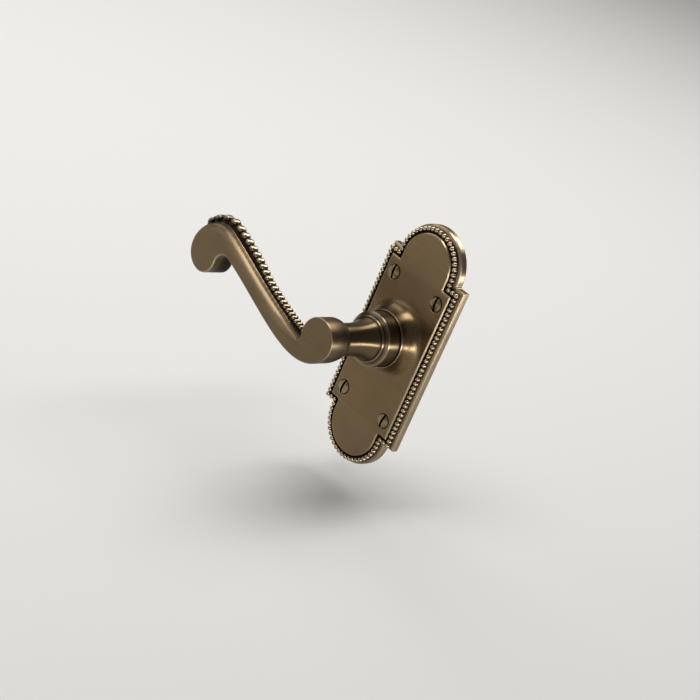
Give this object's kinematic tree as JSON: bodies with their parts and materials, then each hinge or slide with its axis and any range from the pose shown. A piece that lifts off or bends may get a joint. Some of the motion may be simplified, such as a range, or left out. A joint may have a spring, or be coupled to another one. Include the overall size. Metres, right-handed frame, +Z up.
{
  "type": "door lever handle",
  "caption": "Door lever handle: scroll-tip lever with a graduated bead row, turning in a trumpet boss on a long stepped backplate with a pearl border; sprung, with a square spindle.",
  "frame": {"origin": "on the spindle axis, in the plane of the door's face that the plate's back rests on", "axes": "+X to the right seen from the front, +Z up along the plate, +Y into the door; the lever points to -X"},
  "size_m": [0.121, 0.0848, 0.1276],
  "materials": {
    "aged_brass": "satin brushed, darkened in the recesses",
    "screw_brass": "satin",
    "steel": "zinc plated",
    "spring_steel": "oiled, dark",
    "nylon": "matt"
  },
  "bodies": {
    "plate_body": {"backplate": "aged_brass", "plate_screws": "screw_brass", "bearing_bush": "nylon", "thrust_washer": "nylon", "stop_pins": "steel", "return_spring": "spring_steel"},
    "lever_body": {"lever": "aged_brass", "spindle": "steel", "grub_screw": "steel", "drive_plate": "steel", "retaining_clip": "spring_steel"}
  },
  "joints": [
    {"name": "lever_turn", "type": "hinge", "parent": "plate_body", "child": "lever_body", "pos_m": [0, 0, 0], "axis": [0, -1, 0], "range_deg": [0, 45], "stiffness_Nm_per_rad": 0.5, "springref_deg": -57.3, "deforming": ["return_spring"]}
  ]
}
